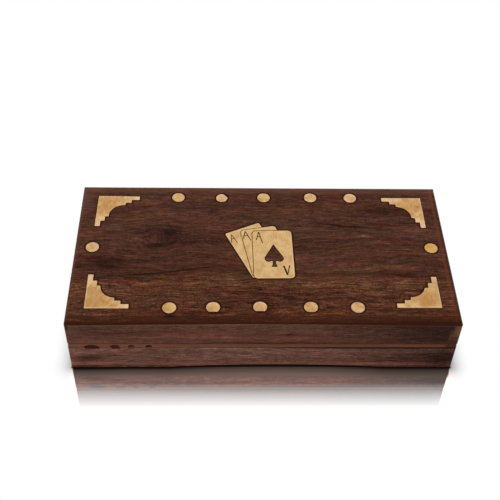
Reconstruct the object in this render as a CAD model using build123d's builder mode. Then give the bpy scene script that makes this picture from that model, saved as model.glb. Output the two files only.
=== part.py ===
from build123d import *
import os

# Playing card box of dark hardwood: a base with two card wells and a middle well, under a
# hinged lid with flush brass inlays.
# X runs along the box, Y to its back and Z up. The origin is the middle of the underside.
# All sizes are in millimetres.

# Box
box_length = 203.0
box_depth = 101.0
box_height = 38.4
wall = 5.5
floor_board = 4.0
top_board = 6.0
base_height = 17.6
seam_gap = 0.2

# Roundings of the outer edges
lid_top_round = 2.4
base_rim_round = 0.4
base_foot_round = 1.0
corner_round = 0.9

# A flared lip along the lid's lower edge, under a shallow groove with a soft shoulder
lip_height = 2.7
lip_edge = 0.25
groove_depth = 0.45
groove_rise = 0.9
shoulder_round = 1.5

# Wells, their dividers and the cloth linings
card_well = 66.0
divider = 5.0
housing_depth = 2.0
housing_play = 0.05
lining_thickness = 0.8
lining_margin = 0.3

# Brass inlays, let into the top board
inlay_thickness = 1.2
inlay_gap = 0.5
inlay_edge = 0.1

# A corner bracket: a leg each way, stepping down twice in width towards its tip
bracket_leg = 23.3
bracket_tip_length = 4.3
bracket_middle_length = 3.4
bracket_width = 7.2
bracket_middle_width = 5.2
bracket_tip_width = 2.9
bracket_throat = 9.55
bracket_corner_round = 0.35

# How much longer than that each bracket's two legs are, sawn by hand
bracket_legs_off = {
    "front_left": (-0.6, -0.2),
    "front_right": (-2.0, 0.0),
    "back_right": (-0.7, 0.6),
    "back_left": (0.8, 0.1),
}

# One bracket was let in a little askew
back_left_angle = -0.7

# How far each bracket, laid by hand, lies in from the box's end and from its long side
bracket_insets = {
    "front_left": (9.4, 9.4),
    "front_right": (9.4, 10.2),
    "back_right": (9.4, 9.1),
    "back_left": (9.4, 8.6),
}

# Dots: two rows of five between the brackets and one at each end
dot_diameter = 7.2
small_dot_diameter = 6.5
small_dot = "back_2"
dot_row_inset = 9.5
dot_end_inset = 9.3
dot_bracket_gap = 19.9

# How far each dot, laid by hand, is off its even place
back_dots_off = ((2.1, 0.0), (2.4, -0.3), (1.9, 0.1), (4.2, 0.3), (2.6, 0.1))
front_dots_off = ((0.3, 0.4), (-1.7, 0.7), (-2.0, 1.0), (-0.3, 1.0), (-0.5, 0.9))
left_dot_off = (0.3, 1.8)
right_dot_off = (0.4, 2.0)

# Dots filed flat on one side, in pockets left round: which way, and how far from the middle
dot_flats = {"back_2": (40, 2.8), "front_2": (270, 2.9), "front_3": (270, 2.7), "front_4": (270, 3.2)}

# A fan of three cards: the tilt, the lower left corner, the size and the rounding of each
rear_card = (24.9, (-5.1, -20.2), (20.6, 35.6), 0.9)
middle_card = (11.2, (-5.0, -19.7), (19.9, 35.0), 1.9)
front_card = (0.9, (-4.6, -20.5), (21.6, 35.0), 2.3)
engraving_width = 0.4
engraving_depth = 0.35

# Letters, each from a corner of its card: left foot, apex and right foot. The crossbar's place is
# its share of the way up the left leg and down the right one.
letter_width = 0.55
bold_letter_width = 0.95
crossbar_left = 0.44
crossbar_right = 0.44
rear_letter = ((0.3, -7.5), (2.9, -1.9), (3.3, -9.0))
middle_letter = ((0.5, -6.3), (2.6, -1.0), (4.3, -8.4))
front_letter = ((2.1, -7.0), (3.5, -0.8), (5.4, -9.4))
upturned_letter = ((-5.6, 8.9), (-3.8, 2.2), (-2.3, 9.3))

# The right half of the spade, from the middle of the front card
spade_tip = (0.0, 3.8)
spade_shoulder = (4.7, -5.1)
spade_lobe_side = (4.8, -8.1)
spade_lobe_end = (2.95, -9.2)
spade_neck = (1.05, -8.5)
spade_waist = (1.1, -11.3)
spade_foot = (1.75, -12.8)
spade_off = (0.4, 3.4)

# Hinges at the back, each with its middle this far in from the box's end
hinge_inset = 39.5
leaf_length = 22.0
leaf_margin = 0.9
leaf_thickness = 0.8
barrel_radius = 1.4
barrel_standoff = 0.1
middle_knuckle = 8.6
knuckle_gap = 0.15
swing_gap = 0.15
mortise_play = 0.1
pin_radius = 0.6
pin_play = 0.05
pin_head_radius = 0.95
pin_head_length = 0.35

# Hinge screws: how far each lies in from its leaf's end and from its inner edge
screw_end_inset = 4.0
screw_edge_inset = 1.7
screw_shank_radius = 0.7
screw_head_radius = 1.3
screw_length = 6.0
screw_play = 0.04
screw_slot_width = 0.35
screw_slot_depth = 0.3
countersink_angle = 90

# Chips broken out of the lid's front lower edge: place from the left end, and length
chips = ((12.2, 9.6), (24.4, 6.2), (32.9, 4.0), (41.9, 4.2))
chip_height = 1.9
chip_depth = 1.6

# The box
half_length = box_length / 2
half_depth = box_depth / 2
inner_length = box_length - 2 * wall
inner_depth = box_depth - 2 * wall
lid_bottom = base_height + seam_gap
board_bottom = box_height - top_board

# The wells
centre_well = inner_length - 2 * (card_well + divider)
divider_place = (centre_well + divider) / 2
well_place = (inner_length - card_well) / 2

# The hinges
hinges = {"left": hinge_inset - half_length, "right": half_length - hinge_inset}
hinge_height = base_height + seam_gap / 2
hinge_line = half_depth + barrel_radius + barrel_standoff
leaf_inner_edge = half_depth - wall + leaf_margin
bore_radius = pin_radius + pin_play
outer_knuckle = (leaf_length - middle_knuckle) / 2 - knuckle_gap
screw_line = leaf_inner_edge + screw_edge_inset
screw_reach = leaf_length / 2 - screw_end_inset
screw_hole_radius = screw_shank_radius + screw_play
screw_places = {}
for name, x in hinges.items():
    screw_places[name] = [(x - screw_reach, screw_line), (x + screw_reach, screw_line)]

# The places of the inlays; a bracket's turn puts its outer corner at the box's own corner
bracket_turns = {"front_left": 0, "front_right": 90, "back_right": 180, "back_left": 270 + back_left_angle}
bracket_places = {}
for name, turn in bracket_turns.items():
    side_x = -1 if name.endswith("left") else 1
    side_y = -1 if name.startswith("front") else 1
    inset_x, inset_y = bracket_insets[name]
    place = (side_x * (half_length - inset_x), side_y * (half_depth - inset_y), 0)
    bracket_places[name] = Location(place, (0, 0, turn))

bracket_inset = bracket_insets["back_left"][0]
dot_pitch = (half_length - bracket_inset - bracket_leg - dot_bracket_gap) / 2
dot_row = half_depth - dot_row_inset
dot_end = half_length - dot_end_inset
dot_places = {}
for side, row, offs in (("back", dot_row, back_dots_off), ("front", -dot_row, front_dots_off)):
    for number, (off_x, off_y) in enumerate(offs):
        dot_places[f"{side}_{number + 1}"] = ((number - 2) * dot_pitch + off_x, row + off_y)
dot_places["left"] = (left_dot_off[0] - dot_end, left_dot_off[1])
dot_places["right"] = (right_dot_off[0] + dot_end, right_dot_off[1])


def dot_radius(name):
    """One dot is a little smaller than the others."""
    if name == small_dot:
        return small_dot_diameter / 2
    return dot_diameter / 2


def base_section(width):
    """An upright section through the base, with its lower and upper corners rounded."""
    with BuildSketch() as section:
        Rectangle(width, base_height, align=(Align.CENTER, Align.MIN))
        fillet(section.vertices().group_by(Axis.Y)[0], base_foot_round)
        fillet(section.vertices().group_by(Axis.Y)[-1], base_rim_round)
    return section.sketch


def lid_section(width):
    """An upright section through the lid, from its flared lip to its rounded top."""
    groove = lid_bottom + lip_height
    right_side = [
        (width / 2, lid_bottom),
        (width / 2 - groove_depth, groove),
        (width / 2, groove + groove_rise),
        (width / 2, box_height),
    ]
    left_side = [(-x, y) for x, y in reversed(right_side)]
    with BuildSketch() as section:
        with BuildLine():
            Polyline(*right_side, *left_side, close=True)
        make_face()
        fillet(section.vertices().group_by(Axis.Y)[-1], lid_top_round)
        fillet(section.vertices().group_by(Axis.Y)[2], shoulder_round)
        chamfer(section.vertices().group_by(Axis.Y)[0], lip_edge)
    return section.sketch


def card_sketch(tilt, corner, size, rounding):
    """A card lying at its tilt, turned about its lower left corner."""
    with BuildSketch() as card:
        with Locations(Location((*corner, 0), (0, 0, tilt))):
            Rectangle(*size, align=Align.MIN)
        fillet(card.vertices(), rounding)
    return card.sketch


def place_on_card(card, across, up, off=(0, 0)):
    """A place on a card, from its lower left corner in shares of its size, then moved by off."""
    tilt, corner, (width, height), rounding = card
    return Location((*corner, 0), (0, 0, tilt)) * Location((across * width + off[0], up * height + off[1], 0))


def spade_sketch():
    """The spade: a pointed leaf with two round lobes on a flared foot."""
    with BuildSketch() as spade:
        with BuildLine():
            Line(spade_tip, spade_shoulder)
            ThreePointArc(spade_shoulder, spade_lobe_side, spade_lobe_end)
            Line(spade_lobe_end, spade_neck)
            ThreePointArc(spade_neck, spade_waist, spade_foot)
            Line(spade_foot, (0, spade_foot[1]))
            mirror(about=Plane.YZ)
        make_face()
    return spade.sketch.moved(place_on_card(front_card, 0.5, 0.5, spade_off))


def letter_sketch(points, place, left_width=letter_width, crossbar=True):
    """A letter A of two engraved legs and, where it isn't worn away, a crossbar."""
    left_foot, apex, right_foot = points
    with BuildSketch() as letter:
        with BuildLine() as left_leg:
            Line(left_foot, apex)
        trace(line_width=left_width)
        with BuildLine() as right_leg:
            Line(apex, right_foot)
        trace(line_width=letter_width)
        if crossbar:
            with BuildLine():
                Line(left_leg.line @ crossbar_left, right_leg.line @ crossbar_right)
            trace(line_width=letter_width)
    return letter.sketch.moved(place)


def leg_points(leg):
    """A bracket's leg along +X from the outer corner, round its stepped tip."""
    middle_end = leg - bracket_tip_length
    wide_end = middle_end - bracket_middle_length
    return [
        (0, 0),
        (leg, 0),
        (leg, bracket_tip_width),
        (middle_end, bracket_tip_width),
        (middle_end, bracket_middle_width),
        (wide_end, bracket_middle_width),
        (wide_end, bracket_width),
    ]


def bracket_sketch(name):
    """A corner bracket in its place. In its own frame its two legs lie along +X and +Y."""
    legs = [bracket_leg + off for off in bracket_legs_off[name]]
    with BuildSketch() as bracket:
        with BuildLine():
            first_leg = Polyline(*leg_points(legs[0]))
            next_leg = Polyline(*[(y, x) for x, y in leg_points(legs[1])])
            ThreePointArc(first_leg @ 1, (bracket_throat, bracket_throat), next_leg @ 1)
        make_face()
        fillet(bracket.vertices(), bracket_corner_round)
    return bracket.sketch.moved(bracket_places[name])


def cards_sketch():
    """The outline of the whole fan, with the spade cut out."""
    with BuildSketch() as cards:
        for card in (rear_card, middle_card, front_card):
            add(card_sketch(*card))
        add(spade_sketch(), mode=Mode.SUBTRACT)
    return cards.sketch


os.makedirs("parts", exist_ok=True)

# Outer forms of the two halves: upright corners nearly square, long edges planed round
with BuildPart() as base_form:
    with BuildSketch():
        RectangleRounded(box_length, box_depth, corner_round)
    extrude(amount=base_height)
    for plane, width in ((Plane.XZ, box_length), (Plane.YZ, box_depth)):
        with BuildSketch(plane):
            add(base_section(width))
        extrude(amount=box_length, both=True, mode=Mode.INTERSECT)

with BuildPart() as lid_form:
    with BuildSketch(Plane.XY.offset(lid_bottom)):
        RectangleRounded(box_length, box_depth, corner_round)
    extrude(amount=box_height - lid_bottom)
    for plane, width in ((Plane.XZ, box_length), (Plane.YZ, box_depth)):
        with BuildSketch(plane):
            add(lid_section(width))
        extrude(amount=box_length, both=True, mode=Mode.INTERSECT)

# Base: the floor board runs under all four rails
with BuildPart() as base_floor:
    with BuildSketch():
        Rectangle(box_length, box_depth)
    extrude(amount=floor_board)
    add(base_form.part, mode=Mode.INTERSECT)
base_floor.part.label = "base_floor"
export_step(base_floor.part, "parts/base_floor.step")

# Base rails: the two end rails run the full depth and the long rails stand between them
rail_height = base_height - floor_board
for name, side in (("base_left_rail", -1), ("base_right_rail", 1)):
    with BuildPart() as end_rail:
        with BuildSketch(Plane.XY.offset(floor_board)):
            with Locations((side * (half_length - wall / 2), 0)):
                Rectangle(wall, box_depth)
        extrude(amount=rail_height)
        add(base_form.part, mode=Mode.INTERSECT)
    end_rail.part.label = name
    export_step(end_rail.part, f"parts/{name}.step")

# The dividers stand in upright housings in both long rails
housings = [(side * divider_place, 0) for side in (-1, 1)]
housing_length = inner_depth + 2 * housing_depth
housing_width = divider + 2 * housing_play

with BuildPart() as base_front_rail:
    with BuildSketch(Plane.XY.offset(floor_board)):
        with Locations((0, wall / 2 - half_depth)):
            Rectangle(inner_length, wall)
        with Locations(*housings):
            Rectangle(housing_width, housing_length, mode=Mode.SUBTRACT)
    extrude(amount=rail_height)
    add(base_form.part, mode=Mode.INTERSECT)
base_front_rail.part.label = "base_front_rail"
export_step(base_front_rail.part, "parts/base_front_rail.step")

# The hinge leaves lie in mortises in both back rails
mortise_length = leaf_length + 2 * mortise_play
mortises = [(x, leaf_inner_edge - mortise_play) for x in hinges.values()]
from_inner_edge = (Align.CENTER, Align.MIN)
all_screws = screw_places["left"] + screw_places["right"]
base_screws = [Location((x, y, base_height)) for x, y in all_screws]
lid_screws = [Location((x, y, lid_bottom), (180, 0, 0)) for x, y in all_screws]

with BuildPart() as base_back_rail:
    with BuildSketch(Plane.XY.offset(floor_board)):
        with Locations((0, half_depth - wall / 2)):
            Rectangle(inner_length, wall)
        with Locations(*housings):
            Rectangle(housing_width, housing_length, mode=Mode.SUBTRACT)
    extrude(amount=rail_height)
    add(base_form.part, mode=Mode.INTERSECT)
    with BuildSketch(Plane.XY.offset(base_height)):
        with Locations(*mortises):
            Rectangle(mortise_length, wall, align=from_inner_edge)
    extrude(amount=-leaf_thickness, mode=Mode.SUBTRACT)
    with Locations(*base_screws):
        Hole(screw_hole_radius, depth=screw_length + screw_play)
base_back_rail.part.label = "base_back_rail"
export_step(base_back_rail.part, "parts/base_back_rail.step")

for name, side in (("divider_left", -1), ("divider_right", 1)):
    with BuildPart() as well_divider:
        with BuildSketch(Plane.XY.offset(floor_board)):
            with Locations((side * divider_place, 0)):
                Rectangle(divider, housing_length - 2 * housing_play)
        extrude(amount=rail_height)
    well_divider.part.label = name
    export_step(well_divider.part, f"parts/{name}.step")

# Cloth linings lie on the floor of each well
linings = (
    ("lining_left_well", -well_place, card_well),
    ("lining_centre", 0, centre_well),
    ("lining_right_well", well_place, card_well),
)
for name, x, well_length in linings:
    with BuildPart() as lining:
        with BuildSketch(Plane.XY.offset(floor_board)):
            with Locations((x, 0)):
                Rectangle(well_length - 2 * lining_margin, inner_depth - 2 * lining_margin)
        extrude(amount=lining_thickness)
    lining.part.label = name
    export_step(lining.part, f"parts/{name}.step")

# Lid: the top board lies over all four rails, with a pocket for every inlay
with BuildPart() as lid_top_panel:
    with BuildSketch(Plane.XY.offset(board_bottom)):
        Rectangle(box_length, box_depth)
    extrude(amount=top_board)
    add(lid_form.part, mode=Mode.INTERSECT)
    with BuildSketch(Plane.XY.offset(box_height)):
        for name, place in dot_places.items():
            with Locations(place):
                Circle(dot_radius(name) + inlay_gap)
        for name in bracket_places:
            add(offset(bracket_sketch(name), amount=inlay_gap, mode=Mode.PRIVATE))
        add(offset(cards_sketch(), amount=inlay_gap, mode=Mode.PRIVATE))
    extrude(amount=-inlay_thickness, mode=Mode.SUBTRACT)
lid_top_panel.part.label = "lid_top_panel"
export_step(lid_top_panel.part, "parts/lid_top_panel.step")

lid_rail_height = board_bottom - lid_bottom
for name, side in (("lid_left_rail", -1), ("lid_right_rail", 1)):
    with BuildPart() as end_rail:
        with BuildSketch(Plane.XY.offset(lid_bottom)):
            with Locations((side * (half_length - wall / 2), 0)):
                Rectangle(wall, box_depth)
        extrude(amount=lid_rail_height)
        add(lid_form.part, mode=Mode.INTERSECT)
    end_rail.part.label = name
    export_step(end_rail.part, f"parts/{name}.step")

# Each chip is a shallow hollow, cut by a roller that lies square to the front
with BuildPart() as lid_front_rail:
    with BuildSketch(Plane.XY.offset(lid_bottom)):
        with Locations((0, wall / 2 - half_depth)):
            Rectangle(inner_length, wall)
    extrude(amount=lid_rail_height)
    add(lid_form.part, mode=Mode.INTERSECT)
    for chip_place, chip_length in chips:
        roller = (chip_length**2 / 4 + chip_height**2) / (2 * chip_height)
        with Locations((chip_place - half_length, -half_depth, lid_bottom + chip_height - roller)):
            Cylinder(roller, 2 * chip_depth, rotation=(90, 0, 0), mode=Mode.SUBTRACT)
lid_front_rail.part.label = "lid_front_rail"
export_step(lid_front_rail.part, "parts/lid_front_rail.step")

with BuildPart() as lid_back_rail:
    with BuildSketch(Plane.XY.offset(lid_bottom)):
        with Locations((0, half_depth - wall / 2)):
            Rectangle(inner_length, wall)
    extrude(amount=lid_rail_height)
    add(lid_form.part, mode=Mode.INTERSECT)
    with BuildSketch(Plane.XY.offset(lid_bottom)):
        with Locations(*mortises):
            Rectangle(mortise_length, wall, align=from_inner_edge)
    extrude(amount=leaf_thickness, mode=Mode.SUBTRACT)
    with Locations(*lid_screws):
        Hole(screw_hole_radius, depth=screw_length + screw_play)
lid_back_rail.part.label = "lid_back_rail"
export_step(lid_back_rail.part, "parts/lid_back_rail.step")

with BuildPart() as lid_lining:
    with BuildSketch(Plane.XY.offset(board_bottom)):
        Rectangle(inner_length - 2 * lining_margin, inner_depth - 2 * lining_margin)
    extrude(amount=-lining_thickness)
lid_lining.part.label = "lid_lining"
export_step(lid_lining.part, "parts/lid_lining.step")

# Inlays: sheet brass, flush with the top board
from_side = (Align.MIN, Align.CENTER)
for name, place in dot_places.items():
    with BuildPart() as dot:
        with BuildSketch(Plane.XY.offset(box_height)):
            with Locations(place):
                Circle(dot_radius(name))
            if name in dot_flats:
                way, reach = dot_flats[name]
                with Locations(Location((*place, 0), (0, 0, way)) * Location((reach, 0, 0))):
                    Rectangle(dot_diameter, dot_diameter, align=from_side, mode=Mode.SUBTRACT)
        extrude(amount=-inlay_thickness)
        chamfer(dot.faces().sort_by(Axis.Z)[-1].edges(), inlay_edge)
    dot.part.label = f"inlay_dot_{name}"
    export_step(dot.part, f"parts/inlay_dot_{name}.step")

for name in bracket_places:
    with BuildPart() as bracket_inlay:
        with BuildSketch(Plane.XY.offset(box_height)):
            add(bracket_sketch(name))
        extrude(amount=-inlay_thickness)
        chamfer(bracket_inlay.faces().sort_by(Axis.Z)[-1].edges(), inlay_edge)
    bracket_inlay.part.label = f"inlay_corner_{name}"
    export_step(bracket_inlay.part, f"parts/inlay_corner_{name}.step")

# The fan is one sheet: engraved lines part the cards, and each has its letter
with BuildPart() as inlay_cards:
    with BuildSketch(Plane.XY.offset(box_height)):
        add(cards_sketch())
    extrude(amount=-inlay_thickness)
    with BuildSketch(Plane.XY.offset(box_height)):
        add(offset(card_sketch(*middle_card), amount=engraving_width, mode=Mode.PRIVATE))
        add(card_sketch(*middle_card), mode=Mode.SUBTRACT)
        add(offset(card_sketch(*front_card), amount=engraving_width, mode=Mode.PRIVATE))
        add(card_sketch(*front_card), mode=Mode.SUBTRACT)
        add(letter_sketch(rear_letter, place_on_card(rear_card, 0, 1)))
        add(letter_sketch(middle_letter, place_on_card(middle_card, 0, 1)))
        add(letter_sketch(front_letter, place_on_card(front_card, 0, 1)))
        add(letter_sketch(upturned_letter, place_on_card(front_card, 1, 0), bold_letter_width, False))
    extrude(amount=-engraving_depth, mode=Mode.SUBTRACT)
inlay_cards.part.label = "inlay_cards"
export_step(inlay_cards.part, "parts/inlay_cards.step")

# Hinges: the lower leaf has the two outer knuckles, the upper leaf the middle one
outer_place = (leaf_length - outer_knuckle) / 2
leaf_reach = hinge_line - leaf_inner_edge
notch_edge = hinge_line - barrel_radius - swing_gap
along_x = (0, 90, 0)

for name, x in hinges.items():
    barrel_middle = (x, hinge_line, hinge_height)
    outer_knuckles = [(x + side * outer_place, hinge_line, hinge_height) for side in (-1, 1)]

    with BuildPart() as lower_leaf:
        with BuildSketch(Plane.XY.offset(base_height)):
            with Locations((x, leaf_inner_edge)):
                Rectangle(leaf_length, leaf_reach, align=from_inner_edge)
            with Locations((x, notch_edge)):
                notch = middle_knuckle + 2 * knuckle_gap
                Rectangle(notch, leaf_reach, align=from_inner_edge, mode=Mode.SUBTRACT)
        extrude(amount=-leaf_thickness)
        with Locations(*outer_knuckles):
            Cylinder(barrel_radius, outer_knuckle, rotation=along_x)
        with Locations(barrel_middle):
            Cylinder(bore_radius, leaf_length, rotation=along_x, mode=Mode.SUBTRACT)
        with Locations(*[Location((*place, base_height)) for place in screw_places[name]]):
            CounterSinkHole(
                screw_hole_radius, screw_head_radius + screw_play, counter_sink_angle=countersink_angle
            )
    lower_leaf.part.label = f"hinge_{name}_lower_leaf"
    export_step(lower_leaf.part, f"parts/hinge_{name}_lower_leaf.step")

    with BuildPart() as upper_leaf:
        with BuildSketch(Plane.XY.offset(lid_bottom)):
            with Locations((x, leaf_inner_edge)):
                Rectangle(leaf_length, leaf_reach, align=from_inner_edge)
            with Locations((x - outer_place, notch_edge), (x + outer_place, notch_edge)):
                notch = outer_knuckle + 2 * knuckle_gap
                Rectangle(notch, leaf_reach, align=from_inner_edge, mode=Mode.SUBTRACT)
        extrude(amount=leaf_thickness)
        with Locations(barrel_middle):
            Cylinder(barrel_radius, middle_knuckle, rotation=along_x)
            Cylinder(bore_radius, leaf_length, rotation=along_x, mode=Mode.SUBTRACT)
        with Locations(*[Location((*place, lid_bottom), (180, 0, 0)) for place in screw_places[name]]):
            CounterSinkHole(
                screw_hole_radius, screw_head_radius + screw_play, counter_sink_angle=countersink_angle
            )
    upper_leaf.part.label = f"hinge_{name}_upper_leaf"
    export_step(upper_leaf.part, f"parts/hinge_{name}_upper_leaf.step")

    # The pin is peened over at both ends, so it can't slide out
    head_place = (leaf_length + pin_head_length) / 2 + pin_play
    with BuildPart() as hinge_pin:
        with Locations(barrel_middle):
            Cylinder(pin_radius, leaf_length + 2 * pin_play, rotation=along_x)
        with Locations(*[(x + side * head_place, hinge_line, hinge_height) for side in (-1, 1)]):
            Cylinder(pin_head_radius, pin_head_length, rotation=along_x)
    hinge_pin.part.label = f"hinge_{name}_pin"
    export_step(hinge_pin.part, f"parts/hinge_{name}_pin.step")

# Screws: slotted countersunk heads, four in each half of the box
screw_head_height = screw_head_radius - screw_shank_radius
below_surface = (Align.CENTER, Align.CENTER, Align.MAX)
for name, places in (("hinge_screws_base", base_screws), ("hinge_screws_lid", lid_screws)):
    with BuildPart() as screws:
        with Locations(*places):
            Cone(screw_shank_radius, screw_head_radius, screw_head_height, align=below_surface)
            Cylinder(screw_shank_radius, screw_length, align=below_surface)
            Box(2 * screw_head_radius, screw_slot_width, 2 * screw_slot_depth, mode=Mode.SUBTRACT)
    screws.part.label = name
    export_step(screws.part, f"parts/{name}.step")
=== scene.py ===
import math

import bpy
from mathutils import Matrix, Vector, noise


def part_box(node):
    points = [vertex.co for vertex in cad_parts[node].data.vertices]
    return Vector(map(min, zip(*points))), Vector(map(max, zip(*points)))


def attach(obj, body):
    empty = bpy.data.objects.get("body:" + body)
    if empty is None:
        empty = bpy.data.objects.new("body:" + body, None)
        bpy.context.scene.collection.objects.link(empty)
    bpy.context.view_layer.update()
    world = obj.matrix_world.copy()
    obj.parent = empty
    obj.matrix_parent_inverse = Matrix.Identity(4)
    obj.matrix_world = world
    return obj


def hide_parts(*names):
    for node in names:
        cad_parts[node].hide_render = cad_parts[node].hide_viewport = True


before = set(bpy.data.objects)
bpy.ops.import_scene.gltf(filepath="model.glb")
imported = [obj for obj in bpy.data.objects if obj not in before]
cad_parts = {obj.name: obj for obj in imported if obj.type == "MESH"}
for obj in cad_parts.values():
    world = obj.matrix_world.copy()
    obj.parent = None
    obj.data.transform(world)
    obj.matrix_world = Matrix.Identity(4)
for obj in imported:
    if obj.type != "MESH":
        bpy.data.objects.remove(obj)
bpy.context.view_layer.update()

# A playing card box of dark hardwood with flush brass inlays, on a pale glossy table.
# Pieces are in metres. Finishes work in millimetres, on the piece's own coordinates.
MM = 0.001


def box_of(node):
    """A node's lowest and highest corners, in millimetres."""
    low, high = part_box(node)
    return low / MM, high / MM


# The box, read from its boards
panel_low, panel_high = box_of("lid_top_panel")
top = panel_high.z
front, back = panel_low.y, panel_high.y
left_end, right_end = panel_low.x, panel_high.x
lid_rim = box_of("lid_front_rail")[0].z
base_rim = box_of("base_front_rail")[1].z


# Nodes

# How far a seed moves a noise, each way
SEED_STEP = (7.3, 3.1, 5.7)
# A Mix node's two colours and their result, by number, because its other kinds share their names
MIX_FIRST, MIX_OTHER, MIX_RESULT = 6, 7, 2


def paint(red, green, blue):
    """A colour as a painter reads it, 0 to 255, turned into the linear one that a shader takes."""
    shares = (red / 255, green / 255, blue / 255)
    linear = (c / 12.92 if c <= 0.04045 else ((c + 0.055) / 1.055) ** 2.4 for c in shares)
    return (*linear, 1.0)


class Value:
    """An output of a node, so that sums on values read as plain expressions."""

    def __init__(self, nodes, socket):
        self.nodes, self.socket = nodes, socket

    def _math(self, operation, *terms):
        return self.nodes.put("ShaderNodeMath", {"operation": operation}, dict(enumerate(terms)))

    def __add__(self, other):
        return self._math("ADD", self, other)

    def __sub__(self, other):
        return self._math("SUBTRACT", self, other)

    def __rsub__(self, other):
        return self._math("SUBTRACT", other, self)

    def __mul__(self, other):
        return self._math("MULTIPLY", self, other)

    def __truediv__(self, other):
        return self._math("DIVIDE", self, other)

    def __pow__(self, other):
        return self._math("POWER", self, other)

    def __abs__(self):
        return self._math("ABSOLUTE", self)

    __radd__, __rmul__ = __add__, __mul__

    def root(self):
        return self._math("SQRT", self)

    def at_least(self, other):
        return self._math("MAXIMUM", self, other)

    def at_most(self, other):
        return self._math("MINIMUM", self, other)

    def kept(self, low, high):
        return self.at_least(low).at_most(high)

    def rises(self, low, high):
        """0 below low and 1 above high, or the other way round, with a smooth step between."""
        return self.nodes.put(
            "ShaderNodeMapRange",
            {"interpolation_type": "SMOOTHSTEP"},
            {"Value": self, "From Min": low, "From Max": high},
        )

    def within(self, low, high, edge):
        """1 between low and high, fading out over edge on both sides."""
        return self.rises(low - edge, low + edge) * self.rises(high + edge, high - edge)


def length(x, y):
    return (x * x + y * y).root()


class Nodes:
    """A tree of nodes: a material's, the world's or a shape's."""

    def __init__(self, tree):
        self.tree = tree
        tree.nodes.clear()

    def put(self, kind, settings=None, inputs=None, output=0):
        """Adds a node: its settings first, then the values or links of its sockets.

        A list of values is linked to one socket, one after the other.
        """
        node = self.tree.nodes.new(kind)
        for key, setting in (settings or {}).items():
            if key == "stops":
                elements = node.color_ramp.elements
                while len(elements) < len(setting):
                    elements.new(1.0)
                for element, (position, colour) in zip(elements, setting):
                    element.position, element.color = position, colour
            else:
                setattr(node, key, setting)
        for key, value in (inputs or {}).items():
            for source in value if isinstance(value, list) else [value]:
                if isinstance(source, Value):
                    self.tree.links.new(source.socket, node.inputs[key])
                else:
                    node.inputs[key].default_value = source
        return Value(self, node.outputs[output]) if node.outputs else None

    def outputs(self, value):
        """All the outputs of the node that a value comes from, by name."""
        return {socket.name: Value(self, socket) for socket in value.socket.node.outputs}

    def axes(self, vector):
        return self.outputs(self.put("ShaderNodeSeparateXYZ", inputs={0: vector})).values()

    def vector(self, x, y, z):
        return self.put("ShaderNodeCombineXYZ", inputs={"X": x, "Y": y, "Z": z})

    def ramp(self, value, stops):
        return self.put("ShaderNodeValToRGB", {"stops": stops}, {"Fac": value})


class Finish(Nodes):
    """A material. Its place is the coordinates on the piece, in millimetres."""

    def __init__(self, name):
        self.material = bpy.data.materials.new(name)
        self.material.use_nodes = True
        super().__init__(self.material.node_tree)
        metres = self.put("ShaderNodeTexCoord", output="Object")
        scaled = {0: metres, "Scale": 1 / MM}
        self.place = self.put("ShaderNodeVectorMath", {"operation": "SCALE"}, scaled)

    def noise(self, vector, stretch, seed, detail=2.0, roughness=0.5):
        """Cloudy noise, where stretch says how many clouds there are in a millimetre each way."""
        start = tuple(seed * step for step in SEED_STEP)
        mapped = {"Vector": vector, "Location": start, "Scale": stretch}
        moved = self.put("ShaderNodeMapping", inputs=mapped)
        cloudy = {"Vector": moved, "Scale": 1.0, "Detail": detail, "Roughness": roughness}
        return self.put("ShaderNodeTexNoise", inputs=cloudy)

    def mix(self, share, one, other, blend="MIX"):
        """Goes from the first colour to the other as share goes from 0 to 1."""
        settings = {"data_type": "RGBA", "blend_type": blend}
        inputs = {"Factor": share, MIX_FIRST: one, MIX_OTHER: other}
        return self.put("ShaderNodeMix", settings, inputs, MIX_RESULT)

    def bump(self, height, depth):
        """A surface normal from a height between 0 and 1, where 1 stands depth millimetres high."""
        inputs = {"Height": height, "Distance": depth * MM, "Strength": 1.0}
        return self.put("ShaderNodeBump", inputs=inputs)

    def glow(self, colour):
        return self.put("ShaderNodeEmission", inputs={"Color": colour, "Strength": 1.0})

    def end(self, shader):
        self.put("ShaderNodeOutputMaterial", inputs={"Surface": shader})
        return self.material

    def show(self, **sockets):
        """Ends the material in one shader; a socket's name is written with _ for its blanks."""
        inputs = {key.replace("_", " "): value for key, value in sockets.items()}
        return self.end(self.put("ShaderNodeBsdfPrincipled", inputs=inputs))


# How far a place on the top lies outside the inlays' outlines, in millimetres

FAR_AWAY = 100.0

# The cards: tilt, lower left corner, size and rounding
CARDS = (
    (24.9, (-5.1, -20.2), (20.6, 35.6), 0.9),
    (11.2, (-5.0, -19.7), (19.9, 35.0), 1.9),
    (0.9, (-4.6, -20.5), (21.6, 35.0), 2.3),
)
# A bracket's steps: how far each ends before the leg's tip, and how wide it is
BRACKET_STEPS = ((0.0, 2.9), (4.3, 5.2))
# How far its broad part ends before the tips, and its round throat's middle and radius
BRACKET_THROAT = (7.7, 15.24, 8.05)
# How many times the distance from a bracket's outer sides counts: they fit the best
OUTER_SIDES_COUNT = 3.0


def outside_cards(x, y):
    nearest = FAR_AWAY
    for tilt, (left, foot), (width, height), rounding in CARDS:
        cosine, sine = math.cos(math.radians(tilt)), math.sin(math.radians(tilt))
        right, up = x - left, y - foot
        aside = abs(right * cosine + up * sine - width / 2) - (width / 2 - rounding)
        above = abs(up * cosine - right * sine - height / 2) - (height / 2 - rounding)
        card = length(aside.at_least(0.0), above.at_least(0.0)) - rounding
        nearest = card.at_most(nearest)
    return nearest


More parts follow.
